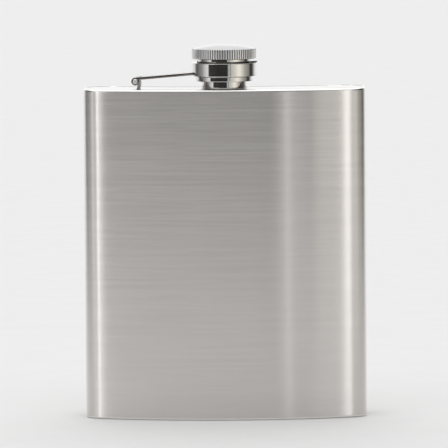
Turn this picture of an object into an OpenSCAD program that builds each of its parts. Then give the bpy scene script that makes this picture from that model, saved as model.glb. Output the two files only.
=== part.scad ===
// Hip flask: a curved sheet-steel vessel with a screw cap held captive on a hinged arm.
// Millimetres. +Z up, the convex front faces -Y, the origin is under the middle of the flask.

/* [Body] */
// Width of the body
body_w = 94; // [80:1:110]
// Height of the body, from the floor to the top plate
body_h = 110; // [80:1:150]
// Distance between the front wall and the back wall
body_t = 22; // [21.4:0.2:26]
// Radius of the convex front
front_r = 142; // [130:2:300]
// Radius of the hollow back
back_r = 125; // [115:5:300]
// Radius of the four upright edges
corner_r = 6.5; // [5:0.5:8]
// Thickness of the sheet
sheet = 0.7; // [0.5:0.1:0.8]

/* [Neck] */
// Radius of the neck outside, over the crests of its thread
neck_r = 7.5; // [7:0.1:8]
// Radius of the bore of the neck
bore_r = 6.2; // [5.5:0.1:6.4]
// Height of the rim above the top plate
rim_h = 11; // [10.8:0.1:11.6]
// Pitch of the thread
pitch = 1.27; // [1:0.01:1.5]
// Number of thread turns on the neck
thread_turns = 5; // [3:1:5]

/* [Cap] */
// Radius of the knurled head, over its ridges
head_r = 10.7; // [10.2:0.1:12]
// Height of the underside of the head above the top plate
head_z = 9.9; // [9.8:0.1:10.6]
// Height of the knurled band
knurl_h = 3.4; // [3:0.1:4]
// Rise of the dome on top of the head
dome_h = 1.5; // [1:0.1:2]
// Number of ridges round the head
knurls = 80; // [40:4:88]
// Outside radius of the threaded core
core_r = 8.65; // [8.5:0.05:9]
// Height of the foot of the core above the top plate
core_z = 2.5; // [2.4:0.1:3]

/* [Collar and arm] */
// Outside radius of the swivel collar
collar_r = 10.7; // [10.4:0.1:12]
// Height of the underside of the collar above the top plate
collar_z = 4.2; // [4.1:0.1:4.6]
// Height of the collar
collar_h = 4.4; // [4.1:0.1:4.6]
// Width of the strap
strap_w = 7; // [6:0.5:8]
// Thickness of the strap
strap_t = 0.85; // [0.7:0.05:0.9]
// Distance of the hinge pin from the middle of the neck
pin_x = 29.5; // [28:0.1:32]
// Height of the hinge pin above the top plate
pin_z = 2.6; // [2.5:0.1:2.8]
// Radius of the hinge pin
pin_r = 0.5; // [0.45:0.05:0.55]

/* [Hidden] */
$fn = 96;

steel = [0.72, 0.71, 0.69];
polished = [0.86, 0.86, 0.85];
satin = [0.78, 0.77, 0.74];
dark_steel = [0.32, 0.30, 0.29];
weld_tone = [0.66, 0.65, 0.63];
seal_tone = [0.9, 0.9, 0.88];

run = 0.08;        // radial clearance of a turning fit
gap = 0.03;        // clearance between faces that only just meet

// Plan of the body: two arcs joined by four rounded edges.
corner_x = body_w / 2 - corner_r;
front_rise = front_r - sqrt(pow(front_r - corner_r, 2) - pow(corner_x, 2));
back_rise = sqrt(pow(back_r + corner_r, 2) - pow(corner_x, 2)) - back_r;
depth = body_t - back_rise + corner_r;
front_y = -depth / 2;
back_y = front_y + body_t;
front_c = front_y + front_r;
back_c = back_y + back_r;
front_corner_y = front_y + front_rise;
back_corner_y = back_y - back_rise;
front_angle = atan2(front_corner_y - front_c, corner_x);
back_angle = atan2(back_c - back_corner_y, -corner_x);
neck_y = front_y + body_t / 2;

function arc(c, r, from, to, steps) =
    [for (i = [0:steps]) let (a = from + (to - from) * i / steps) [c[0] + r * cos(a), c[1] + r * sin(a)]];

function outline(inset) = concat(
    arc([0, front_c], front_r - inset, -180 - front_angle, front_angle, 28),
    arc([corner_x, front_corner_y], corner_r - inset, front_angle + 6, -4, 9),
    arc([corner_x, back_corner_y], corner_r - inset, 0, back_angle - 6, 11),
    arc([0, back_c], back_r + inset, back_angle - 180, -back_angle, 24),
    arc([-corner_x, back_corner_y], corner_r - inset, 186 - back_angle, 180, 11),
    arc([-corner_x, front_corner_y], corner_r - inset, 184, 174 - front_angle, 9));

module slab(inset, z, h) {
    translate([0, 0, z]) linear_extrude(h) polygon(outline(inset));
}

module on_top() {
    translate([0, 0, body_h]) children();
}

module on_neck() {
    on_top() translate([0, neck_y, 0]) children();
}

module tube(r_out, r_in, z, h) {
    translate([0, 0, z]) difference() {
        cylinder(r = r_out, h = h);
        translate([0, 0, -1]) cylinder(r = r_in, h = h + 2);
    }
}

// ---- vessel ----

seam_w = 1.2;
seam_y = (front_corner_y + back_corner_y) / 2;
edge_step = sheet / 2;

module body_shell() {
    color(steel) difference() {
        slab(0, sheet, body_h - 2 * sheet);
        slab(sheet, sheet - 1, body_h - 2 * sheet + 2);
        translate([body_w / 2 - 1.5, seam_y - seam_w / 2, -1]) cube([3, seam_w, body_h + 2]);
    }
}

module shell_seam() {
    color(weld_tone) translate([body_w / 2 - sheet, seam_y - seam_w / 2, sheet])
        cube([sheet, seam_w, body_h - 2 * sheet]);
}

module top_plate() {
    color(steel) difference() {
        slab(sheet, body_h - sheet, sheet);
        on_neck() translate([0, 0, -2 * sheet]) cylinder(r = neck_r, h = 3 * sheet);
    }
}

dish_inset = 4;
dish_rise = 0.8;

module base_plate() {
    color(steel) {
        difference() {
            slab(sheet, 0, sheet + dish_rise);
            slab(dish_inset, -1, dish_rise + 1);
            difference() {
                slab(0, sheet, sheet + dish_rise);
                slab(dish_inset - sheet, sheet - 1, sheet + dish_rise + 2);
            }
        }
    }
}

// A bead round the rim of the vessel, stepped in as it turns the edge.
module rim_bead(z, step_z) {
    difference() {
        union() {
            slab(0, z, edge_step);
            slab(edge_step / 2, z + step_z, edge_step);
        }
        slab(sheet, z - 1, 3);
    }
}

module top_weld() {
    color(weld_tone) rim_bead(body_h - sheet, edge_step);
}

module base_weld() {
    color(weld_tone) rim_bead(edge_step, -edge_step);
}

// ---- neck ----

thread_depth = 0.5;
thread_z = 3.8;
neck_root = neck_r - thread_depth;

// One turn of a rounded thread, as points down its crest and root.
function ridge(z, root, crest) =
    [[root, z], [crest, z + pitch * 0.28], [crest, z + pitch * 0.42], [root, z + pitch * 0.7]];

module neck() {
    rim_edge = 0.3;
    profile = concat(
        [[bore_r, -sheet], [neck_r, -sheet], [neck_r, thread_z - 0.6], [neck_root, thread_z - 0.1]],
        [for (i = [0:thread_turns - 1]) each ridge(thread_z + i * pitch, neck_root, neck_r)],
        [[neck_root, rim_h - rim_edge], [neck_root - rim_edge, rim_h], [bore_r, rim_h]]);
    color(polished) on_neck() rotate_extrude() polygon(profile);
}

module neck_weld() {
    leg = 0.6;
    color(weld_tone) on_neck() rotate_extrude() difference() {
        translate([neck_r, 0]) square(leg);
        translate([neck_r + leg, leg]) circle(r = leg - 0.02);
    }
}

// ---- hinge ----

barrel_r = pin_r + 0.05 + 0.75;
knuckle_w = 2.2;
lug_w = strap_w - 2 * knuckle_w - 0.2;
foot_from = 0.5;
foot_to = 1.5;

module at_pin() {
    on_top() translate([-pin_x, neck_y, pin_z]) rotate([90, 0, 0]) children();
}

// Side view of the bracket's leaf, from its foot on the plate up to the barrel.
leaf = [[foot_from, -pin_z], [foot_to, -pin_z], [1.95, -1.1], [1.95, 0.1], [1.1, 0.6], [0, 0]];

module hinge_bracket() {
    color(steel) at_pin() translate([0, 0, -lug_w / 2]) difference() {
        linear_extrude(lug_w) union() {
            circle(r = barrel_r);
            polygon(leaf);
        }
        translate([0, 0, -1]) cylinder(r = pin_r, h = lug_w + 2);
    }
}

module bracket_weld() {
    leg = 0.35;
    bead_top = -pin_z + leg * 0.6;
    color(weld_tone) at_pin() translate([0, 0, -lug_w / 2]) linear_extrude(lug_w) difference() {
        polygon([[foot_from - leg, -pin_z], [foot_to + leg, -pin_z], [foot_to, bead_top], [foot_from, bead_top]]);
        polygon(leaf);
    }
}

module hinge_pin() {
    head_r_pin = 0.85;
    head_t = 0.3;
    reach = strap_w / 2 + gap;
    color(polished) at_pin() {
        cylinder(r = pin_r, h = 2 * reach, center = true);
        for (s = [-1, 1]) translate([0, 0, s * (reach + head_t / 2)])
            cylinder(r = head_r_pin, h = head_t, center = true);
    }
}

// ---- arm ----

strap_rise = 4.6;                                  // degrees that the strap climbs to the collar
strap_run = (pin_x - collar_r + 1.2) / cos(strap_rise);
slot_r = 2.7;                                      // reach of the gap that clears the bracket

module arm_strap() {
    color(dark_steel) difference() {
        at_pin() translate([0, 0, -strap_w / 2]) difference() {
            linear_extrude(strap_w) union() {
                circle(r = barrel_r);
                rotate(strap_rise) translate([0, barrel_r - strap_t]) square([strap_run, strap_t]);
            }
            translate([0, 0, -1]) cylinder(r = pin_r + 0.05, h = strap_w + 2);
            translate([0, 0, knuckle_w]) cylinder(r = slot_r, h = strap_w - 2 * knuckle_w);
        }
        on_neck() cylinder(r = collar_r, h = 20);
    }
}

counterbore_r = 9.6;
counterbore_h = 2.2;

module swivel_collar() {
    bevel = 0.35;
    inner = core_r + run;
    profile = [[inner, counterbore_h], [counterbore_r, counterbore_h], [counterbore_r, 0],
               [collar_r - bevel, 0], [collar_r, bevel], [collar_r, collar_h - bevel],
               [collar_r - bevel, collar_h], [inner, collar_h]];
    color(polished) on_neck() translate([0, 0, collar_z]) rotate_extrude() polygon(profile);
}

// The braze that wraps the end of the strap where it meets the collar.
module collar_braze() {
    run_out = 2.2;
    rise = 0.4;
    color(weld_tone) difference() {
        at_pin() translate([0, 0, -strap_w / 2]) linear_extrude(strap_w)
            rotate(strap_rise) translate([strap_run - run_out, barrel_r])
                polygon([[0, 0], [run_out, 0], [run_out, rise]]);
        on_neck() cylinder(r = collar_r, h = 20);
    }
}

clip_t = 0.5;
clip_r = 9.4;

module retaining_clip() {
    ear_w = 1.6;
    mouth = 5;
    color(dark_steel) on_neck() translate([0, 0, collar_z + collar_h]) difference() {
        union() {
            cylinder(r = clip_r, h = clip_t);
            translate([0, -ear_w / 2, 0]) cube([collar_r + 0.3, ear_w, clip_t]);
        }
        translate([0, 0, -1]) cylinder(r = core_r + run, h = 3);
        translate([-12, -mouth / 2, -1]) cube([12, mouth, 3]);
    }
}

// ---- cap ----

liner_t = 0.4;
gasket_t = 0.5;
gasket_z = rim_h + gap;
liner_z = gasket_z + gasket_t;
ceiling_z = liner_z + liner_t + gap;
crown_t = 0.9;
core_top = ceiling_z + crown_t;
core_bore = neck_r + run;

module cap_gasket() {
    color(seal_tone) on_neck() tube(neck_r - 0.2, bore_r - 0.6, gasket_z, gasket_t);
}

module cap_liner() {
    color(polished) on_neck() translate([0, 0, liner_z]) cylinder(r = neck_r - 0.2, h = liner_t);
}

// The core's bore just clears the crests of the neck. Its own thread is cut outward from there.
module cap_core() {
    groove = core_bore + 0.5;
    first = thread_z + pitch * 0.5;
    profile = concat(
        [[core_r, core_z], [core_r, core_top], [0, core_top], [0, ceiling_z], [core_bore, ceiling_z]],
        [for (i = [thread_turns - 1:-1:0]) let (z = first + i * pitch)
            each [[core_bore, z + pitch * 0.7], [groove, z + pitch * 0.42],
                  [groove, z + pitch * 0.28], [core_bore, z]]],
        [[core_bore, core_z]]);
    color(satin) on_neck() rotate_extrude() polygon(profile);
}

module retaining_ring() {
    ring_r = 9.5;
    bevel = 0.3;
    ring_top = collar_z - gap;
    color(polished) on_neck() rotate_extrude() polygon([[core_r, core_z], [ring_r - bevel, core_z],
        [ring_r, core_z + bevel], [ring_r, ring_top], [core_r, ring_top]]);
}

module cap_head() {
    bevel = 0.3;
    body_r = head_r - 0.3;
    edge_r = head_r - 0.5;
    band_top = head_z + knurl_h;
    dome_r = (edge_r * edge_r + dome_h * dome_h) / (2 * dome_h);
    dome = [for (i = [0:12]) let (r = edge_r * (1 - i / 12))
        [r, band_top + dome_h - dome_r + sqrt(dome_r * dome_r - r * r)]];
    profile = concat([[core_r, head_z], [body_r - bevel, head_z], [body_r, head_z + bevel],
                      [body_r, band_top - bevel]], dome, [[0, core_top], [core_r, core_top]]);
    star = [for (i = [0:2 * knurls - 1]) let (r = i % 2 == 0 ? head_r : body_r - 0.02, a = i * 180 / knurls)
        [r * cos(a), r * sin(a)]];
    color(satin) on_neck() {
        rotate_extrude() polygon(profile);
        translate([0, 0, head_z + bevel]) difference() {
            linear_extrude(knurl_h - 2 * bevel) polygon(star);
            translate([0, 0, -1]) cylinder(r = body_r - 0.5, h = knurl_h + 2);
        }
    }
}

body_shell();
shell_seam();
top_plate();
base_plate();
top_weld();
base_weld();
neck();
neck_weld();
hinge_bracket();
bracket_weld();
hinge_pin();
arm_strap();
swivel_collar();
collar_braze();
retaining_clip();
cap_gasket();
cap_liner();
cap_core();
retaining_ring();
cap_head();
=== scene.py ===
# %% [markdown]
# A steel hip flask is a curved sheet vessel, closed by two pressed plates, with a screw cap that stays on a
# hinged arm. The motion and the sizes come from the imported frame, so the first step loads it and keeps its
# box. Every piece below is measured from the frame's own nodes, never placed by eye.

# %% Load the frame
from math import atan2, cos, degrees, pi, radians, sin, sqrt, tau

import bmesh
import bpy
from mathutils import Matrix, Vector


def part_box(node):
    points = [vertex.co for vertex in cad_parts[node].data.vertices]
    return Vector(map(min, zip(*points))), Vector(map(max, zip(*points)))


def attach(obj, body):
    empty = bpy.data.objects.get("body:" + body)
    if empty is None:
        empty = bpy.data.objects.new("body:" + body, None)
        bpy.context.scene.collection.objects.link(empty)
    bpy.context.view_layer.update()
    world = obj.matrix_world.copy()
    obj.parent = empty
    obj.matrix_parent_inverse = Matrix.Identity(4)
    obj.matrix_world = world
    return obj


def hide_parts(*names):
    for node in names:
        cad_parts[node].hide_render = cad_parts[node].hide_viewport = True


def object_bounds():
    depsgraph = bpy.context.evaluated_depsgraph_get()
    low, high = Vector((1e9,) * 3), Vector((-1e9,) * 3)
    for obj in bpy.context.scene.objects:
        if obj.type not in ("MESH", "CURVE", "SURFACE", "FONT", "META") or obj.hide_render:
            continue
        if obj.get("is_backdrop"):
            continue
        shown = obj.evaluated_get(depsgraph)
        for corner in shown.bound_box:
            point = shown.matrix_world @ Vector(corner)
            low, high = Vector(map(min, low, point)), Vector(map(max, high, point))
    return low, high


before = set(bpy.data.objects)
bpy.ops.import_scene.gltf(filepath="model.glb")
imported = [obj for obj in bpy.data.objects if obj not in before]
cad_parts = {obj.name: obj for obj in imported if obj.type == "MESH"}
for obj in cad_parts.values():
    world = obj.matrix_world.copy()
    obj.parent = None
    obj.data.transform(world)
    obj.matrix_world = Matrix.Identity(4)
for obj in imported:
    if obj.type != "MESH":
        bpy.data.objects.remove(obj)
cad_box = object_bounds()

MM = 0.001
scene = bpy.context.scene

# %% [markdown]
# The camera is a long lens a metre and a half away, a little above the middle of the flask and looking down
# five degrees. A long lens keeps upright edges upright, which is how small metal goods are usually shown.

# %% Camera
aim = Vector((-0.375, -5.0, 64.83)) * MM
distance = 1.419
elevation = radians(4.926)
azimuth = radians(0.575)
tilt = radians(-0.41)
back = Vector((sin(azimuth) * cos(elevation), -cos(azimuth) * cos(elevation), sin(elevation)))
lens = bpy.data.cameras.new("camera")
lens.sensor_width = 36
lens.lens = 342.2
camera = bpy.data.objects.new("camera", lens)
camera.rotation_mode = "QUATERNION"
camera.location = aim + back * distance
camera.rotation_quaternion = (-back).to_track_quat("-Z", "Y") @ Matrix.Rotation(tilt, 4, "Z").to_quaternion()
scene.collection.objects.link(camera)
scene.camera = camera
scene.view_settings.view_transform = "Standard"
print("camera", round(distance, 3), "m away, lens", lens.lens, "mm")

# %% [markdown]
# Node trees are easier to read as sums. This class wraps one socket: adding or multiplying it adds a Math
# node, and one method makes any other node, with its settings first and then what goes into its sockets.
# The two numbers at the end say which output of a Texture Coordinate node is the object's own normal and
# which its own space.


# %% Sums on sockets
class Wire:
    """One socket of a node tree, used in sums like a number."""

    def __init__(self, tree, socket=None):
        self.tree = tree
        self.socket = socket

    def node(self, kind, settings, sockets, output=0):
        made = self.tree.nodes.new(kind)
        for name, value in settings.items():
            if name == "stops":
                self.fill(made.color_ramp, value)
            else:
                setattr(made, name, value)
        for key, value in sockets.items():
            if isinstance(value, Wire):
                self.tree.links.new(value.socket, made.inputs[key])
            else:
                made.inputs[key].default_value = value
        return Wire(self.tree, made.outputs[output] if made.outputs else None)

    def fill(self, ramp, stops):
        """Gives a ramp its stops. Moving one can re-order them, so all are placed before any is coloured."""
        while len(ramp.elements) < len(stops):
            ramp.elements.new(0.5)
        for element, stop in zip(ramp.elements, stops):
            element.position = stop[0]
        for element, (place, tone) in zip(ramp.elements, stops):
            element.color = (*tone, 1) if isinstance(tone, tuple) else (tone, tone, tone, 1)

    def maths(self, operation, first, second=0.0):
        return self.node("ShaderNodeMath", {"operation": operation}, {0: first, 1: second})

    def stretch(self, amounts):
        return self.node("ShaderNodeVectorMath", {"operation": "MULTIPLY"}, {0: self, 1: amounts})

    def mix(self, other, share):
        return self.node("ShaderNodeMix", {"data_type": "RGBA"}, {0: share, 6: self, 7: other}, output=2)

    def __add__(self, other):
        return self.maths("ADD", self, other)

    def __sub__(self, other):
        return self.maths("SUBTRACT", self, other)

    def __mul__(self, other):
        return self.maths("MULTIPLY", self, other)

    def __truediv__(self, other):
        return self.maths("DIVIDE", self, other)

    def __rsub__(self, other):
        return self.maths("SUBTRACT", other, self)

    __radd__ = __add__
    __rmul__ = __mul__


OBJECT_NORMAL = 1
OBJECT_SPACE = 3
print("sums ready")

# %% [markdown]
# Metal shows what stands around it, so the studio matters as much as the steel. Behind and above the flask
# all is white. In front there is a dark room, with tall narrow lamps to the left and right of the camera and a
# cream wall on the right. The room is a world shader: one ramp round the compass for the band near the
# horizon, which polished parts mirror, one for the taller cards that brushed steel smears upright, and a
# bright dome overhead.

# %% Studio
PALE = (0.88, 0.88, 0.88)


def compass(table):
    """Ramp stops from pairs of a direction, in degrees rightward from the camera, and a brightness."""
    return [(direction / 360 + 0.5, tone) for direction, tone in table]


low_band = compass([
    (-180, 1.1), (-135, 1.0), (-126, 0.65), (-119, 0.18), (-112, 0.14), (-100, 0.25), (-84, 0.4), (-75, 0.7),
    (-62, 1.0), (-58, 0.9), (-56, 0.05), (-20, 0.035), (13, 0.04), (15.5, 0.5), (19, 0.65), (22, 0.5),
    (23.5, 0.15), (26, (0.77, 0.75, 0.70)), (34, (0.78, 0.76, 0.70)), (54, (1.25, 1.2, 1.1)),
    (62, (1.15, 1.1, 1.0)), (80, (0.56, 0.54, 0.48)), (100, (0.31, 0.30, 0.27)), (108, 0.06), (118, 0.06),
    (126, 0.22), (135, 0.7), (146, 1.0), (180, 1.1)])
tall_band = compass([
    (-180, 1.2), (-150, 1.0), (-135, 0.5), (-110, 0.16), (-92, 0.12), (-76, 0.15), (-62, 0.5), (-48, 0.6),
    (-38, 0.35), (-20, 0.25), (-8, 0.25), (8, 0.2), (14, 0.12), (21, 0.08), (25, 0.24), (34, 0.33),
    (42, 0.2), (53, 0.03), (82, 0.0), (100, 0.0), (121, 0.1), (140, 0.6), (180, 1.2)])
world = bpy.data.worlds.new("studio")
world.use_nodes = True
world.node_tree.nodes.clear()
scene.world = world
room = Wire(world.node_tree)
facing = room.node("ShaderNodeTexCoord", {}, {})
east = room.node("ShaderNodeSeparateXYZ", {}, {0: facing})
north = Wire(room.tree, east.socket.node.outputs[1])
up = Wire(room.tree, east.socket.node.outputs[2])
bearing = room.maths("ARCTAN2", east, 0 - north) * (360 / tau)
turn = bearing / 360 + 0.5
near_horizon = room.node("ShaderNodeValToRGB", {"stops": low_band}, {0: turn})
cards = room.node("ShaderNodeValToRGB", {"stops": tall_band}, {0: turn})
print("room has", len(low_band), "low and", len(tall_band), "tall stops")

# %% [markdown]
# A ramp holds only a few hundred steps round the whole compass, too coarse for a lamp one degree wide. The
# strip lamps are sums instead: each rises sharply at its inner edge and fades outward. That gives the
# streaks on brushed steel one crisp side and one soft side. Direct looks of the camera at the world get a
# plain pale backdrop.


# %% Strip lamps
def between(value, none, full):
    """Rises smoothly from 0 to 1 as a value goes from none to full, which may lie either way."""
    low, high, first, last = (none, full, 0.0, 1.0) if none < full else (full, none, 1.0, 0.0)
    return value.node("ShaderNodeMapRange", {"interpolation_type": "SMOOTHSTEP"},
                      {0: value, 1: low, 2: high, 3: first, 4: last})


def lamp(inner, full, outer, strength):
    """A strip lamp with a crisp inner edge and a soft outer one, by their bearings in degrees."""
    return between(bearing, inner, full) * between(bearing, outer, full) * strength


DOME = (1.4, 1.4, 1.4, 1)
strips = (lamp(-35.8, -36.6, -42, 3.5) + lamp(-35.8, -36.6, -66, 1.7) + lamp(16.4, 17.1, 18.0, 2.6)
          + lamp(33.4, 34.2, 36.0, 6.3) + lamp(33.4, 34.2, 54, 0.4))
glow = strips * between(up, 0.0, 0.03) * between(up, 0.22, 0.12)
cards_and_dome = near_horizon.mix(cards, between(up, 0.0, 0.05)).mix(DOME, between(up, 0.50, 0.75))
light = room.node("ShaderNodeVectorMath", {"operation": "ADD"}, {0: cards_and_dome, 1: glow})
seen = room.node("ShaderNodeLightPath", {}, {})
room_light = room.node("ShaderNodeBackground", {}, {0: light, 1: 1.0})
backdrop = room.node("ShaderNodeBackground", {}, {0: (*PALE, 1), 1: 1.0})
shown = room.node("ShaderNodeMixShader", {}, {0: seen, 1: room_light, 2: backdrop})
room.node("ShaderNodeOutputWorld", {}, {0: shown})
print("world has", len(room.tree.nodes), "nodes")

# %% [markdown]
# The floor is a pale matt table that runs far back behind the flask. It stops a little way in front, where
# the dark room begins, so the brushed front grows lighter from top to bottom as it sees more of the table.

# %% Floor
floor_half = 0.62
floor_front = -0.75
floor_back = 5.2
middle = (floor_front + floor_back) / 2
reach = (floor_back - floor_front) / 2


def squircle(angle, power=6):
    """A point of a rectangle with soft corners, on a square of half width 1."""
    x, y = cos(angle), sin(angle)
    size = (abs(x) ** power + abs(y) ** power) ** (-1 / power)
    return x * size, y * size


rim = [squircle(tau * i / 96) for i in range(96)]
floor_mesh = bpy.data.meshes.new("floor")
floor_mesh.from_pydata([(x * floor_half, middle + y * reach, 0) for x, y in rim], [], [list(range(96))])
floor = bpy.data.objects.new("floor", floor_mesh)
scene.collection.objects.link(floor)
floor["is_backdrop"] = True
paper = bpy.data.materials.new("matt_floor")
paper.use_nodes = True
paper.node_tree.nodes.clear()
page = Wire(paper.node_tree)
place = page.node("ShaderNodeTexCoord", {}, {}, output=OBJECT_SPACE)
grain = page.node("ShaderNodeTexNoise", {}, {"Vector": place, "Scale": 60.0, "Detail": 3.0})
shade = page.node("ShaderNodeValToRGB", {"stops": [(0.3, 0.835), (0.7, 0.85)]}, {0: grain})
skin = page.node("ShaderNodeBsdfPrincipled", {}, {"Base Color": shade, "Roughness": 0.9})
page.node("ShaderNodeOutputMaterial", {}, {0: skin})
floor_mesh.materials.append(paper)
print("floor", 2 * floor_half, "m wide,", floor_back - floor_front, "m deep")

# %% [markdown]
# Brushed steel is drawn along a belt, so its surface is a bundle of fine level grooves. Across the grooves
# light spreads widely and along them hardly at all: that is what turns a lamp into a tall streak. The
# shader's anisotropy does this, turned a quarter so that the spread is upright. The brush marks are noise
# that is stretched far along the belt, fed to colour and roughness. The plates and rims get a faint bump as
# well. The sleeve gets none: on a surface this anisotropic even a slight bump scatters the streaks
# sideways.


# %% Brushed steel
QUARTER_TURN = 0.25
STREAK = 0.035


def fresh(name):
    """An empty material for one of the record's slots, and a wire to build it with."""
    made = bpy.data.materials.new(name + "_finish")
    made["slot"] = name
    made.use_nodes = True
    made.node_tree.nodes.clear()
    return made, Wire(made.node_tree)


def finish_with(wire, sockets):
    shader = wire.node("ShaderNodeBsdfPrincipled", {}, sockets)
    wire.node("ShaderNodeOutputMaterial", {}, {0: shader})


def noise(wire, where, scale, detail=2.0, rough=0.5):
    return wire.node("ShaderNodeTexNoise", {}, {"Vector": where, "Scale": scale, "Detail": detail,
                                                "Roughness": rough})


def bump(wire, height, strength, depth):
    return wire.node("ShaderNodeBump", {}, {"Height": height, "Strength": strength, "Distance": depth})


def shade(wire, pattern, tone, dark):
    """A colour that wanders with a pattern between tone and tone times dark."""
    low = tuple(dark * t for t in tone)
    return wire.node("ShaderNodeValToRGB", {"stops": [(0.3, low), (0.7, tone)]}, {0: pattern})


def brushed(name, tone, roughness, spread, across, grooves=0.0):
    """Steel with brush marks. across stretches the noise, most along the axis that crosses the marks.

    spread is the anisotropy, and grooves the depth of the bump in metres, if there is one.
    """
    made, wire = fresh(name)
    where = wire.node("ShaderNodeTexCoord", {}, {}, output=OBJECT_SPACE)
    fine = noise(wire, where.stretch(across), 60.0, 3.0, 0.6)
    broad = noise(wire, where.stretch(tuple(0.35 * a for a in across)), 22.0)
    cloud = noise(wire, where, 35.0)
    dark_steel = tuple((1 - STREAK) * t for t in tone)
    light_steel = tuple((1 + STREAK) * t for t in tone)
    colours = wire.node("ShaderNodeValToRGB", {"stops": [(0.38, dark_steel), (0.62, light_steel)]},
                        {0: fine * 0.8 + broad * 0.2})
    polish = roughness + (fine - 0.5) * 0.04 + (broad - 0.5) * 0.02 + (cloud - 0.5) * 0.02
    sockets = {"Base Color": colours, "Metallic": 1.0, "Roughness": polish, "Anisotropic": spread,
               "Anisotropic Rotation": QUARTER_TURN}
    if grooves:
        hair = noise(wire, where.stretch(across), 170.0, 2.0, 0.6)
        sockets["Normal"] = bump(wire, hair, 1.0, grooves)
    finish_with(wire, sockets)
    return made


body_steel = brushed("brushed_body", (0.72, 0.692, 0.667), 0.20, 1.0, (0.6, 0.6, 28.0))
rim_steel = brushed("weld_bead", (0.86, 0.85, 0.83), 0.16, 0.3, (3.0, 3.0, 30.0), 0.000003)
plate_steel = brushed("brushed_plate", (0.62, 0.61, 0.59), 0.22, 0.3, (0.6, 45.0, 45.0), 0.000003)
print("brushed:", body_steel.name, plate_steel.name)

# %% [markdown]
# The other finishes are few. Turned steel shows fine level rings, faint where it is polished. Weld metal is
# ground back but keeps ripples and a little straw colour. The strap and the clip are spring steel, a shade
# darker. The washer under the cap is pale rubber and the disc behind it hard plastic.


# %% Other finishes
def turned(name, tone, roughness, marks):
    """Steel finished on a lathe: fine level rings in its roughness and bump."""
    made, wire = fresh(name)
    where = wire.node("ShaderNodeTexCoord", {}, {}, output=OBJECT_SPACE)
    rings = noise(wire, where.stretch((2.0, 2.0, 90.0)), 80.0)
    smudge = noise(wire, where, 120.0, 3.0)
    polish = roughness + (rings - 0.5) * marks + (smudge - 0.5) * 0.03
    finish_with(wire, {"Base Color": shade(wire, smudge, tone, 0.95), "Metallic": 1.0, "Roughness": polish,
                       "Normal": bump(wire, rings, 0.06, 0.00002)})
    return made


def welded(name):
    made, wire = fresh(name)
    where = wire.node("ShaderNodeTexCoord", {}, {}, output=OBJECT_SPACE)
    ripple = noise(wire, where, 900.0)
    heat = noise(wire, where, 70.0)
    straw_to_grey = [(0.3, (0.60, 0.585, 0.56)), (0.7, (0.67, 0.66, 0.645))]
    tint = wire.node("ShaderNodeValToRGB", {"stops": straw_to_grey}, {0: heat})
    finish_with(wire, {"Base Color": tint, "Metallic": 1.0, "Roughness": 0.26 + (ripple - 0.5) * 0.12,
                       "Normal": bump(wire, ripple, 0.12, 0.00004)})
    return made


def moulded(name, tone, roughness):
    made, wire = fresh(name)
    where = wire.node("ShaderNodeTexCoord", {}, {}, output=OBJECT_SPACE)
    grain = noise(wire, where, 1500.0, 3.0)
    cloud = noise(wire, where, 150.0)
    polish = roughness + (grain - 0.5) * 0.1
    finish_with(wire, {"Base Color": shade(wire, cloud, tone, 0.92), "Roughness": polish,
                       "Normal": bump(wire, grain, 0.15, 0.00004)})
    return made


polished_steel = turned("polished_steel", (0.66, 0.65, 0.63), 0.07, 0.04)
hinge_steel = turned("hinge_steel", (0.22, 0.205, 0.19), 0.14, 0.05)
pin_steel = turned("pin_steel", (0.80, 0.79, 0.77), 0.42, 0.06)
weld_metal = welded("weld_bead")
seal_rubber = moulded("seal_rubber", (0.78, 0.77, 0.73), 0.55)
liner_plastic = moulded("liner_plastic", (0.82, 0.82, 0.80), 0.35)
print("finishes:", len(bpy.data.materials))

# %% [markdown]
# Nearly every piece here is a surface between rows of points: rings round a lathe axis, or rings that
# follow the flask's plan. One helper makes and names such a skin, and one gives the piece its finish, says
# which body carries it and hides the plain node it stands for. All sizes are millimetres until a mesh is
# made of them.


# %% Mesh helpers
def span(node):
    """Lowest and highest corner of a node, in millimetres."""
    low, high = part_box(node)
    return Vector(low) / MM, Vector(high) / MM


def centre_of(node):
    low, high = span(node)
    return (low + high) / 2


def quads(rows, ring=True, loop=False):
    """Faces between rows of equal length. ring closes each row, loop joins the last row to the first."""
    width = len(rows[0])
    across = width if ring else width - 1
    along = len(rows) if loop else len(rows) - 1
    return [(a * width + b, a * width + (b + 1) % width,
             (a + 1) % len(rows) * width + (b + 1) % width, (a + 1) % len(rows) * width + b)
            for a in range(along) for b in range(across)]


def settle(name, node, body, finish, soften=42):
    """Gives a finished mesh its place in the assembly."""
    made = bpy.data.objects[name]
    made.data.shade_smooth()
    made.data.set_sharp_from_angle(angle=radians(soften))
    made.data.materials.clear()
    made.data.materials.append(finish)
    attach(made, body)
    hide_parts(node)
    print(name, "has", len(made.data.polygons), "faces")
    return made


def solid(name, points, faces):
    """A closed mesh object from points in millimetres, doubled points merged and faces turned outward."""
    mesh = bpy.data.meshes.new(name)
    mesh.from_pydata([tuple(c * MM for c in point) for point in points], [], faces)
    work = bmesh.new()
    work.from_mesh(mesh)
    bmesh.ops.remove_doubles(work, verts=work.verts, dist=1e-7)
    bmesh.ops.dissolve_degenerate(work, edges=work.edges, dist=1e-8)
    bmesh.ops.recalc_face_normals(work, faces=work.faces)
    work.to_mesh(mesh)
    work.free()
    made = bpy.data.objects.new(name, mesh)
    scene.collection.objects.link(made)
    return made


FLAT_EDGE = 1.12
FLAT_ROW = 0.05


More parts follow.
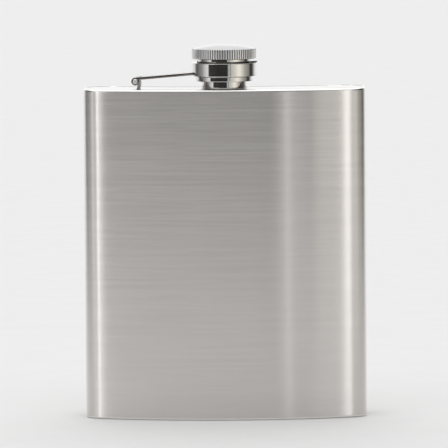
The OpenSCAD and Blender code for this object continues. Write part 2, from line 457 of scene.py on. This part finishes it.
def rounded(outline, radius, steps=4):
    """The same closed outline with every corner eased by a small curve.

    A point just past each end of the curve keeps the flats beside it flat when they are shaded smoothly.
    """
    eased = []
    for i, corner in enumerate(outline):
        corner = Vector(corner)
        before = Vector(outline[i - 1]) - corner
        after = Vector(outline[(i + 1) % len(outline)]) - corner
        start = before * min(0.42, radius / before.length)
        end = after * min(0.42, radius / after.length)
        eased.append(corner + start * FLAT_EDGE)
        for k in range(steps + 1):
            t = k / steps
            eased.append(corner + start * (1 - t) ** 2 + end * t * t)
        eased.append(corner + end * FLAT_EDGE)
    return eased


# %% [markdown]
# The plan of the flask is six arcs: the bulging front, the hollow back that sits against a hip, and four
# tight upright edges. Width, height and depth come from the frame; the arcs' radii are the maker's choice.

# %% Plan of the body
shell_low, shell_high = span("body_shell")
neck_high = span("neck")[1]
top = span("top_plate")[1].z
neck_y = centre_of("neck").y
front_radius = 142
back_radius = 125
corner_radius = 6.5
sheet = 0.7
half_width = shell_high.x
corner_x = half_width - corner_radius
front_centre = shell_low.y + front_radius
back_centre = 2 * neck_y - shell_low.y + back_radius
front_corner = front_centre - sqrt((front_radius - corner_radius) ** 2 - corner_x ** 2)
back_corner = back_centre - sqrt((back_radius + corner_radius) ** 2 - corner_x ** 2)
front_angle = degrees(atan2(front_corner - front_centre, corner_x))
back_angle = degrees(atan2(back_centre - back_corner, -corner_x))


def arc(centre, radius, start, end, steps, last=False):
    """Points along an arc between two angles in degrees. The end point is left to the next stretch."""
    turns = [radians(start + (end - start) * i / steps) for i in range(steps + last)]
    return [(centre[0] + radius * cos(t), centre[1] + radius * sin(t)) for t in turns]


def plan(inset):
    """The flask's outline, anticlockwise from the rear of the right side, moved inward by inset."""
    small = corner_radius - inset
    return (arc((corner_x, back_corner), small, 0, back_angle, 28)
            + arc((0, back_centre), back_radius + inset, back_angle - 180, -back_angle, 90)
            + arc((-corner_x, back_corner), small, 180 - back_angle, 180, 28, True)
            + arc((-corner_x, front_corner), small, 180, 180 - front_angle, 24)
            + arc((0, front_centre), front_radius - inset, -180 - front_angle, front_angle, 110)
            + arc((corner_x, front_corner), small, front_angle, 0, 24, True))


print("plan has", len(plan(0)), "points; body", round(2 * half_width, 1), "by", round(top, 1), "mm")

# %% [markdown]
# The sleeve is one sheet wrapped round until its edges meet at the right side, where a weld closes it. It
# is made as a thin closed strip with a gap for that weld, so the seam is a true piece and not a painted
# line.

# %% Sleeve and seam
seam_low, seam_high = span("shell_seam")
seam_y = centre_of("shell_seam").y


def wall(outer, inner, low, high):
    """Stations of a strip between two outlines, four points each."""
    return [[(*o, low), (*o, high), (*i, high), (*i, low)] for o, i in zip(outer, inner)]


def with_seam(inset):
    edge = half_width - inset
    return [(edge, seam_high.y)] + plan(inset) + [(edge, seam_low.y)]


stations = wall(with_seam(0), with_seam(sheet), shell_low.z, shell_high.z)
ends = [(0, 1, 2, 3), tuple(4 * (len(stations) - 1) + k for k in range(4))]
solid("sleeve", [p for row in stations for p in row], quads(stations) + ends)
settle("sleeve", "body_shell", "flask", body_steel)

bead_steps = 180
bead_rows = []
for i in range(bead_steps + 1):
    z = seam_low.z + (seam_high.z - seam_low.z) * i / bead_steps
    swell = 0.06 + 0.03 * sin(i * 2.4)
    side = sheet - swell * 0.4
    ridge = sheet - swell * 0.2
    section = [(-0.6, 0.0), (-0.6, 0.62), (-0.3, side), (0, ridge), (0.3, side), (0.6, 0.62), (0.6, 0.0)]
    bead_rows.append([(half_width - sheet + x, seam_y + y, z) for y, x in section])
caps = [tuple(range(7)), tuple(7 * bead_steps + k for k in range(7))]
solid("side_seam", [p for row in bead_rows for p in row], quads(bead_rows) + caps)
settle("side_seam", "shell_seam", "flask", weld_metal, 60)

# %% [markdown]
# The two plates are pressed to the same plan and welded in, and both welds are ground to a quarter round.
# The bottom plate is dished so that the flask stands on its rim. Each rim is a quarter circle swept round
# the plan.


# %% Rims and plates
def rim_ring(name, node, edge, inward):
    """A quarter-round bead. edge is the height of the flask's end, inward points from it into the flask."""
    quarter = [(sheet - sheet * cos(t), edge + inward * (sheet - sheet * sin(t)))
               for t in (radians(9 * k) for k in range(11))]
    section = quarter + [(sheet, edge + inward * sheet)]
    rows = [[(x, y, z) for x, y in plan(inset)] for inset, z in section]
    solid(name, [p for row in rows for p in row], quads(rows, loop=True))
    settle(name, node, "flask", rim_steel, 50)


rim_ring("top_rim", "top_weld", top, -1)
rim_ring("bottom_rim", "base_weld", 0, 1)

neck_radius = neck_high.x
plate_drop = 0.05
shares = [0, 0.03, 0.3, 0.6, 0.85, 1]


def towards_neck(point, share):
    away = Vector(point) - Vector((0, neck_y))
    rim_point = Vector((0, neck_y)) + away.normalized() * neck_radius
    return Vector(point).lerp(rim_point, share)


plate_rows = [[(*towards_neck(p, s), top - plate_drop) for p in plan(sheet)] for s in shares]
plate_rows += [[(*towards_neck(p, s), top - sheet) for p in plan(sheet)] for s in reversed(shares)]
solid("pressed_top", [p for row in plate_rows for p in row], quads(plate_rows, loop=True))
settle("pressed_top", "top_plate", "flask", plate_steel)

dish = [(0.7, 0.0), (3.2, 0.0), (3.7, 0.08), (4.2, 0.4), (4.8, 0.74), (5.4, 0.8)]


def dished(lift):
    rows = [[(*p, z + lift) for p in plan(inset)] for inset, z in dish]
    inset, floor_z = dish[-1]
    for share in (0.6, 0.25, 0):
        rows.append([(x * share, neck_y + (y - neck_y) * share, floor_z + lift) for x, y in plan(inset)])
    return rows


base_rows = dished(0) + dished(sheet)[::-1]
solid("pressed_base", [p for row in base_rows for p in row], quads(base_rows, loop=True))
settle("pressed_base", "base_plate", "flask", plate_steel)

# %% [markdown]
# The spout is turned and its thread is cut as one true helix, five turns at a 1.27 mm pitch. A helix is
# only a radius that depends on height and angle together, so the lathe helper takes a function that moves
# each point.


# %% Lathe
def lathe(name, profile, centre=(0, 0), segments=144, shape=None):
    """Turns a closed outline of (radius, height) points round an upright axis. shape may move a radius."""
    rows = []
    for radius, z in profile:
        turns = [tau * k / segments for k in range(segments)]
        lengths = [shape(radius, z, t) if shape else radius for t in turns]
        rows.append([(centre[0] + r * cos(t), centre[1] + r * sin(t), z) for r, t in zip(lengths, turns)])
    return solid(name, [p for row in rows for p in row], quads(rows, loop=True))


axis = (0, neck_y)
pitch = 1.27
thread_turns = 5
thread_depth = 0.5
thread_from = top + 3.6
thread_to = thread_from + (thread_turns + 0.4) * pitch
rim_top = neck_high.z


def ease(value):
    value = max(0.0, min(1.0, value))
    return value * value * (3 - 2 * value)


def thread(z, angle, start, end):
    """Height of the helical ridge, from 0 in the root to 1 on the crest, fading in and out at its ends."""
    phase = (z - thread_from) / pitch - angle / tau
    wave = abs(2 * (phase % 1) - 1)
    return ease((wave - 0.25) / 0.45) * ease((z - start) / 0.5) * ease((end - z) / 0.5)


def neck_shape(radius, z, angle):
    if radius < neck_radius - 0.55 or not thread_from < z < thread_to:
        return radius
    return neck_radius - thread_depth + thread_depth * thread(z, angle, thread_from, thread_to)


bore = 6.2
steps = [thread_from + (thread_to - thread_from) * k / 84 for k in range(85)]
root = neck_radius - thread_depth
plain = top + 3.0
foot = [(bore, top - sheet), (neck_radius, top - sheet), (neck_radius, plain - FLAT_ROW),
        (neck_radius, plain), (neck_radius - 0.1, plain + 0.2), (neck_radius - 0.45, plain + 0.45)]
mouth = [(root, rim_top - 0.3), (root - 0.08, rim_top - 0.1), (root - 0.28, rim_top), (bore + 0.2, rim_top),
         (bore, rim_top - 0.2)]
neck_profile = foot + [(root, z) for z in steps] + mouth
lathe("spout", neck_profile, axis, shape=neck_shape)
settle("spout", "neck", "flask", polished_steel, 60)

leg = 0.6


def rippled(radius, z, angle):
    return radius + (0.03 * sin(46 * angle) if radius > neck_radius + 0.05 else 0)


plate_top = top - plate_drop
fillet = [(neck_radius + leg - leg * cos(t), plate_top + leg - leg * sin(t))
          for t in (radians(10 * k) for k in range(10))]
lathe("spout_weld", [(neck_radius - 0.02, plate_top)] + fillet[::-1], axis, shape=rippled)
settle("spout_weld", "neck_weld", "flask", weld_metal)

# %% [markdown]
# The collar is the bright ring that the cap turns in. Under it the retaining ring holds it on the cap's
# tube, and a thin spring clip lies in the groove above it. Each is turned, so each is a short outline with
# eased corners.

# %% Collar, retaining ring and clip
collar_low, collar_high = span("swivel_collar")
core_low, core_high = span("cap_core")
ring_low, ring_high = span("retaining_ring")
core_radius = core_high.x
collar_radius = 10.7
run = 0.08
counterbore_radius = 9.6
counterbore = 2.2
collar_bore = core_radius + run
ceiling_z = collar_low.z + counterbore
collar_outline = [(collar_bore, ceiling_z), (counterbore_radius, ceiling_z),
                  (counterbore_radius, collar_low.z), (collar_radius, collar_low.z),
                  (collar_radius, collar_high.z), (collar_bore, collar_high.z)]
lathe("bright_collar", rounded(collar_outline, 0.2), axis)
settle("bright_collar", "swivel_collar", "arm", polished_steel)

ring_outline = [(core_radius, ring_low.z), (ring_high.x, ring_low.z), (ring_high.x, ring_high.z),
                (core_radius, ring_high.z)]
lathe("lower_ring", rounded(ring_outline, 0.2), axis)
settle("lower_ring", "retaining_ring", "cap", polished_steel)

# %% [markdown]
# Flat parts are cut from strip, so they are outlines with a thickness. A bevel then eases their edges,
# because a real cut edge always catches a thin line of light. Where a part is cut to clear another, a
# boolean does it.


# %% Cut from strip
def prism(name, outline, thickness, frame_matrix):
    """A flat outline, centred on its own plane, placed by a matrix in millimetres."""
    count = len(outline)
    half = thickness / 2
    points = [frame_matrix @ Vector((*p, side)) for side in (-half, half) for p in outline]
    faces = [tuple(range(count))[::-1], tuple(range(count, 2 * count))]
    faces += [(k, (k + 1) % count, count + (k + 1) % count, count + k) for k in range(count)]
    return solid(name, points, faces)


def freeze(made):
    """Turns a piece's modifiers into plain mesh."""
    graph = bpy.context.evaluated_depsgraph_get()
    made.data = bpy.data.meshes.new_from_object(made.evaluated_get(graph))
    made.modifiers.clear()


def cut(made, cutter):
    knife = made.modifiers.new("cut", "BOOLEAN")
    knife.operation = "DIFFERENCE"
    knife.solver = "EXACT"
    knife.object = cutter
    freeze(made)
    bpy.data.objects.remove(cutter)


def ease_edges(made, width, segments=2):
    bevel = made.modifiers.new("edges", "BEVEL")
    bevel.width = width * MM
    bevel.segments = segments
    bevel.limit_method = "ANGLE"
    bevel.angle_limit = radians(50)
    freeze(made)


clip_low, clip_high = span("retaining_clip")
flat_on_neck = Matrix.Translation((0, neck_y, centre_of("retaining_clip").z))
ear_half = 0.8
mouth_half = 2.5
clip_radius = 9.4
clip_inner = core_radius + run
ear_angle = degrees(atan2(ear_half, clip_radius))
mouth_angle = degrees(atan2(mouth_half, clip_radius))
inner_mouth = degrees(atan2(mouth_half, clip_inner))
clip_outline = (arc((0, 0), clip_radius, ear_angle, 180 - mouth_angle, 48, True)
                + arc((0, 0), clip_inner, 180 - inner_mouth, -180 + inner_mouth, 96, True)
                + arc((0, 0), clip_radius, -180 + mouth_angle, -ear_angle, 48, True)
                + [(clip_high.x, -ear_half), (clip_high.x, ear_half)])
clip = prism("spring_clip", clip_outline, clip_high.z - clip_low.z, flat_on_neck)
ease_edges(clip, 0.08)
settle("spring_clip", "retaining_clip", "arm", hinge_steel)

# %% [markdown]
# The arm is one strip, rolled round the pin at its left end. The roll is drawn from the side as one
# outline: round the outside, back round the hole, then along the strip. The middle of the roll is cut away
# for the bracket, which leaves two knuckles, and the right end is cut to the collar's round.

# %% Arm
pin_middle = centre_of("hinge_pin")
strap_low, strap_high = span("arm_strap")
strap_width = strap_high.y - strap_low.y
pin_radius = 0.5
hole = pin_radius + 0.05
barrel = pin_middle.x - strap_low.x
strip = 0.85
climb_angle = 4.6
side_view = Matrix.Translation(pin_middle) @ Matrix.Rotation(pi / 2, 4, "X")
along_arm = side_view @ Matrix.Rotation(radians(climb_angle), 4, "Z")
under = barrel - strip
into_collar = 8
hole_meets = degrees(atan2(under, sqrt(hole ** 2 - under ** 2)))
arm_end = (-pin_middle.x - into_collar) / cos(radians(climb_angle))
arm_outline = (arc((0, 0), barrel, 90, 372, 44, True) + arc((0, 0), hole, 372, hole_meets, 40, True)
               + [(arm_end, under), (arm_end, barrel)])
arm = prism("rolled_arm", arm_outline, strap_width, along_arm)
bracket_low, bracket_high = span("hinge_bracket")
lug_width = bracket_high.y - bracket_low.y
lug_room = 2.7
side_play = 0.1
cut(arm, prism("lug_gap", arc((0, 0), lug_room, 0, 360, 48), lug_width + 2 * side_play, side_view))
well_past = 9
room_low = collar_low.z - well_past
room_high = collar_high.z + well_past
collar_room = [(collar_radius, room_low), (collar_radius, room_high), (0, room_high), (0, room_low)]
cut(arm, lathe("collar_room", collar_room, axis))
ease_edges(arm, 0.06)
settle("rolled_arm", "arm_strap", "arm", hinge_steel)

braze_from = (span("collar_braze")[0].x - pin_middle.x) / cos(radians(climb_angle))
braze_rise = 0.3
braze_run = 2.4
sunk = 0.05
braze = [(braze_from + braze_run * t, barrel - sunk + braze_rise * t * t) for t in (0, 0.4, 0.7, 1)]
braze += [(arm_end - 1.0, barrel + braze_rise), (arm_end - 1.0, barrel - sunk)]
fillet_piece = prism("arm_braze", braze, strap_width - 0.4, along_arm)
cut(fillet_piece, lathe("collar_room", collar_room, axis))
ease_edges(fillet_piece, 0.06)
settle("arm_braze", "collar_braze", "arm", weld_metal)

# %% [markdown]
# The bracket is the leaf that stands on the top plate, with a single knuckle between the arm's two. Its pin
# is peened over at both ends, so the heads are shallow domes, and two small welds hold its foot.

# %% Bracket and pin
drop = pin_middle.z - top
near = 0.5
far = 1.5
leaf = [(near, -drop), (far, -drop), (1.95, -1.1), (1.95, 0.1)] + arc((0, 0), barrel, 28, 300, 40, True)
bracket = prism("hinge_leaf", leaf, lug_width, side_view)
cut(bracket, prism("pin_hole", arc((0, 0), pin_radius, 0, 360, 40), lug_width + 2, side_view))
ease_edges(bracket, 0.08)
settle("hinge_leaf", "hinge_bracket", "flask", pin_steel)

pin_low, pin_high = span("hinge_pin")
half_pin = (pin_high.y - pin_low.y) / 2
head = 0.85
peened = [(0.001, half_pin), (0.4, half_pin - 0.03), (0.7, half_pin - 0.12), (head, half_pin - 0.26),
          (pin_radius, half_pin - 0.3)]
pin_outline = [(0.001, -half_pin)] + [(r, -z) for r, z in peened[1:]] + peened[::-1]
pin = lathe("peened_pin", pin_outline, segments=48)
pin.data.transform(Matrix.Translation(pin_middle * MM) @ Matrix.Rotation(pi / 2, 4, "X"))
settle("peened_pin", "hinge_pin", "flask", pin_steel)

toe = 0.35
bead = 0.18
tack = [(near - toe, -drop), (far + toe, -drop), (far + 0.12, -drop + bead), (near - 0.06, -drop + bead)]
weld = prism("leaf_weld", tack, lug_width, side_view)
leaf_room = [(near - 0.01, -drop - 1), (far + 0.01, -drop - 1), (far + 0.01, 0), (near - 0.01, 0)]
cut(weld, prism("leaf_room", leaf_room, lug_width + 1, side_view))
settle("leaf_weld", "bracket_weld", "flask", weld_metal)

# %% [markdown]
# Knurling is rolled into the head's side to give the fingers a grip. Hands polish its crests, and the grooves
# are painted dark as the shade that falls in them, so the colour follows the distance from the axis. The domed
# top is smoother, and its colour is painted darker as shade where it faces up; the object's own normal says
# where that begins. A normal in world space would change as the cap swings.


# %% Knurled finish
def knurled_and_domed(name, groove, crest, crown, reach):
    """Knurled steel: tones of its grooves and top, both painted shade, and crests. reach is the crests'
    radius.
    """
    made, wire = fresh(name)
    where = wire.node("ShaderNodeTexCoord", {}, {}, output=OBJECT_SPACE)
    facing = wire.node("ShaderNodeTexCoord", {}, {}, output=OBJECT_NORMAL)
    smudge = noise(wire, where, 120.0, 3.0)
    level = wire.node("ShaderNodeSeparateXYZ", {}, {0: facing}, output=2)
    upward = wire.node("ShaderNodeMapRange", {}, {0: level, 1: 0.3, 2: 0.7})
    on_axis = (0, neck_y * MM, 0)
    from_axis = wire.node("ShaderNodeVectorMath", {"operation": "SUBTRACT"}, {0: where, 1: on_axis})
    level_part = from_axis.stretch((1, 1, 0))
    away = wire.node("ShaderNodeVectorMath", {"operation": "LENGTH"}, {0: level_part}, output=1)
    # Painted shade darkens the grooves, and polish from hands lightens the crests.
    groove_shade_and_wear = wire.node("ShaderNodeMapRange", {}, {0: away, 1: (reach - 0.28) * MM, 2: (reach - 0.04) * MM})
    side = wire.node("ShaderNodeValToRGB", {"stops": [(0.0, groove), (1.0, crest)]}, {0: groove_shade_and_wear})
    # The top's darker tone, picked by the upward normal, is painted shade.
    shaded_top_tone = shade(wire, smudge, (crown, crown, crown), 0.95)
    finish_with(wire, {"Base Color": side.mix(shaded_top_tone, upward), "Metallic": 1.0,
                       "Roughness": 0.30 - upward * 0.18 + (smudge - 0.5) * 0.04})
    return made


head_low, head_high = span("cap_head")
head_radius = head_high.x
satin_steel = knurled_and_domed("satin_steel", 0.15, 0.86, 0.54, head_radius)
print("head is", round(2 * head_radius, 1), "mm across")

# %% [markdown]
# The cap's head is turned as one outline and its ridges are cut by the lathe helper, which moves each point
# inward by its angle. They are straight, fade out at both ends and are a little rounded, as rolled knurling
# is. The mesh has twelve points to a ridge, so that every crest and groove falls on a row of its own.

# %% Cap head
knurls = 80
knurl_depth = 0.3
knurl_height = 3.4
band_low = head_low.z
band_high = band_low + knurl_height
shoulder = head_radius - 0.5
rise = head_high.z - band_high
dome_radius = (shoulder ** 2 + rise ** 2) / (2 * rise)


def knurled(radius, z, angle):
    if radius < shoulder + 0.05 or z > band_high:
        return radius
    fade = ease((z - band_low - 0.05) / 0.2) * ease((band_high - 0.02 - z) / 0.2)
    ridge = abs(2 * (knurls * angle / tau % 1) - 1)
    return radius - knurl_depth * (1 - fade * ease((ridge - 0.1) / 0.5))


def dome(radius):
    return radius, head_high.z - dome_radius + sqrt(dome_radius ** 2 - radius ** 2)


dome_arc = [dome(shoulder * (1 - k / 16)) for k in range(17)]
band = [(head_radius, band_low + 0.08 + (knurl_height - 0.12) * k / 24) for k in range(25)]
crown = core_high.z
head_profile = ([(0, crown), (core_radius, crown), (core_radius, band_low), (shoulder - 0.1, band_low)]
                + band + [(shoulder + 0.04, band_high - 0.02)] + dome_arc)
lathe("knurled_head", head_profile, axis, 12 * knurls, knurled)
settle("knurled_head", "cap_head", "cap", satin_steel, 50)

# %% [markdown]
# Inside the head is a threaded tube with the same helix as the neck, cut the other way round. The washer
# that seals on the neck's rim and the disc behind it lie loose under its ceiling, so they rise with the cap
# but don't turn.

# %% Cap tube and seal
core_bore = neck_radius + run
gasket_low, gasket_high = span("cap_gasket")
liner_low, liner_high = span("cap_liner")
ceiling = liner_high.z + 0.03
core_steps = [core_low.z + 0.3 + (thread_to - core_low.z) * k / 96 for k in range(97)]


def core_shape(radius, z, angle):
    if radius > core_bore + 0.05 or radius < core_bore - 0.05:
        return radius
    return core_bore + thread_depth * thread(z, angle, core_low.z + 0.4, thread_to)


lip = 0.1
outside = [(core_radius, core_low.z + lip), (core_radius, core_low.z + lip + 0.03), (core_radius, crown)]
inside = [(0, crown), (0, ceiling), (core_bore - lip, ceiling)] + [(core_bore, z) for z in core_steps[::-1]]
lower_lip = [(core_bore, core_low.z + lip), (core_bore + lip, core_low.z), (core_radius - lip, core_low.z)]
lathe("cap_tube", outside + inside + lower_lip, axis, shape=core_shape)
settle("cap_tube", "cap_core", "cap", polished_steel, 60)

washer_bore = bore - 0.6
washer = [(washer_bore, gasket_low.z), (gasket_high.x, gasket_low.z), (gasket_high.x, gasket_high.z),
          (washer_bore, gasket_high.z)]
lathe("soft_washer", rounded(washer, 0.12), axis, 96)
settle("soft_washer", "cap_gasket", "seal", seal_rubber)
disc = [(0, liner_low.z), (liner_high.x, liner_low.z), (liner_high.x, liner_high.z), (0, liner_high.z)]
outer_corners = rounded(disc, 0.08)[5:15]
lathe("backing_disc", [disc[0]] + outer_corners + [disc[3]], axis, 96)
settle("backing_disc", "cap_liner", "seal", liner_plastic)

# %% [markdown]
# The visible pieces are meant to fill the same box as the frame, so both boxes are measured and the last
# line prints how far the visible one grows past the frame's.

# %% Finish
shown_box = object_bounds()
growth = [round((b - a) / MM, 3) for c, s in zip(cad_box, shown_box) for a, b in zip(c, s)]
print("box grew by", growth, "mm")
